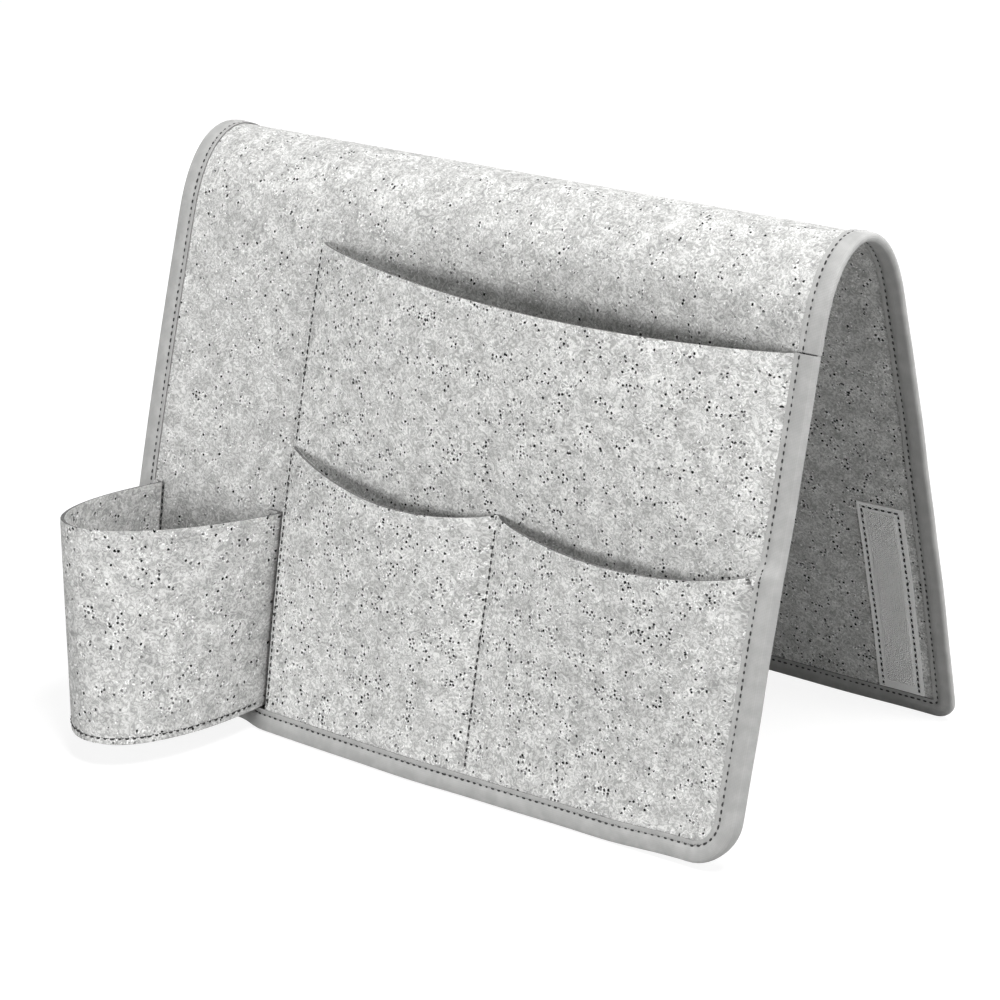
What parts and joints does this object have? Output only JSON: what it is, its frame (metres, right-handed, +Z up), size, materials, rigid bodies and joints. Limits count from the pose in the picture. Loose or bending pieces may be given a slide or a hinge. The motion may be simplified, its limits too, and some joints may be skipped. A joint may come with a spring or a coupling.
{
  "type": "armrest organizer",
  "caption": "Grey felt armrest organizer bent over a ridge like a tent, with a wide tablet pocket, phone pockets and a hanging cup on its front leaf.",
  "frame": {"origin": "on the floor under the middle of the whole organizer, cup included", "axes": "+X along the ridge to the right as seen from the pockets, -Y towards the pocket side, +Z up"},
  "size_m": [0.3, 0.2276, 0.2162],
  "materials": {
    "felt": "matte heather felt",
    "binding_tape": "smooth woven tape",
    "hook_tape": "hook side of a touch fastener",
    "thread": "spun sewing thread"
  },
  "bodies": {
    "ridge": {"ridge_band": "felt", "ridge_binding_left": "binding_tape", "ridge_binding_right": "binding_tape", "ridge_left_needle_thread": "thread", "ridge_left_bobbin_thread": "thread", "ridge_right_needle_thread": "thread", "ridge_right_bobbin_thread": "thread"},
    "front_panel": {"front_leaf": "felt", "front_binding": "binding_tape", "front_binding_needle_thread": "thread", "front_binding_bobbin_thread": "thread", "front_binding_upper": "binding_tape", "front_upper_needle_thread": "thread", "front_upper_bobbin_thread": "thread", "tablet_pocket": "felt", "phone_pockets": "felt", "tablet_seam_needle_thread": "thread", "phone_seam_needle_thread": "thread", "pocket_seam_bobbin_thread": "thread", "divider_needle_thread": "thread", "divider_bobbin_thread": "thread", "cup_wall": "felt", "cup_base": "felt", "cup_base_thread": "thread", "cup_left_needle_thread": "thread", "cup_left_bobbin_thread": "thread", "cup_right_needle_thread": "thread", "cup_right_bobbin_thread": "thread"},
    "back_panel": {"back_leaf": "felt", "back_binding": "binding_tape", "back_binding_needle_thread": "thread", "back_binding_bobbin_thread": "thread", "hook_strip_left": "hook_tape", "hook_left_needle_thread": "thread", "hook_left_bobbin_thread": "thread", "hook_strip_right": "hook_tape", "hook_right_needle_thread": "thread", "hook_right_bobbin_thread": "thread"}
  },
  "joints": [
    {"name": "front_fold", "type": "hinge", "parent": "ridge", "child": "front_panel", "pos_m": [0, 0.01695, 0.20672], "axis": [-1, 0, 0], "range_deg": [-18, 74], "stiffness_Nm_per_rad": 0.5},
    {"name": "back_fold", "type": "hinge", "parent": "ridge", "child": "back_panel", "pos_m": [0, 0.04885, 0.20672], "axis": [1, 0, 0], "range_deg": [-18, 74], "stiffness_Nm_per_rad": 0.5}
  ]
}
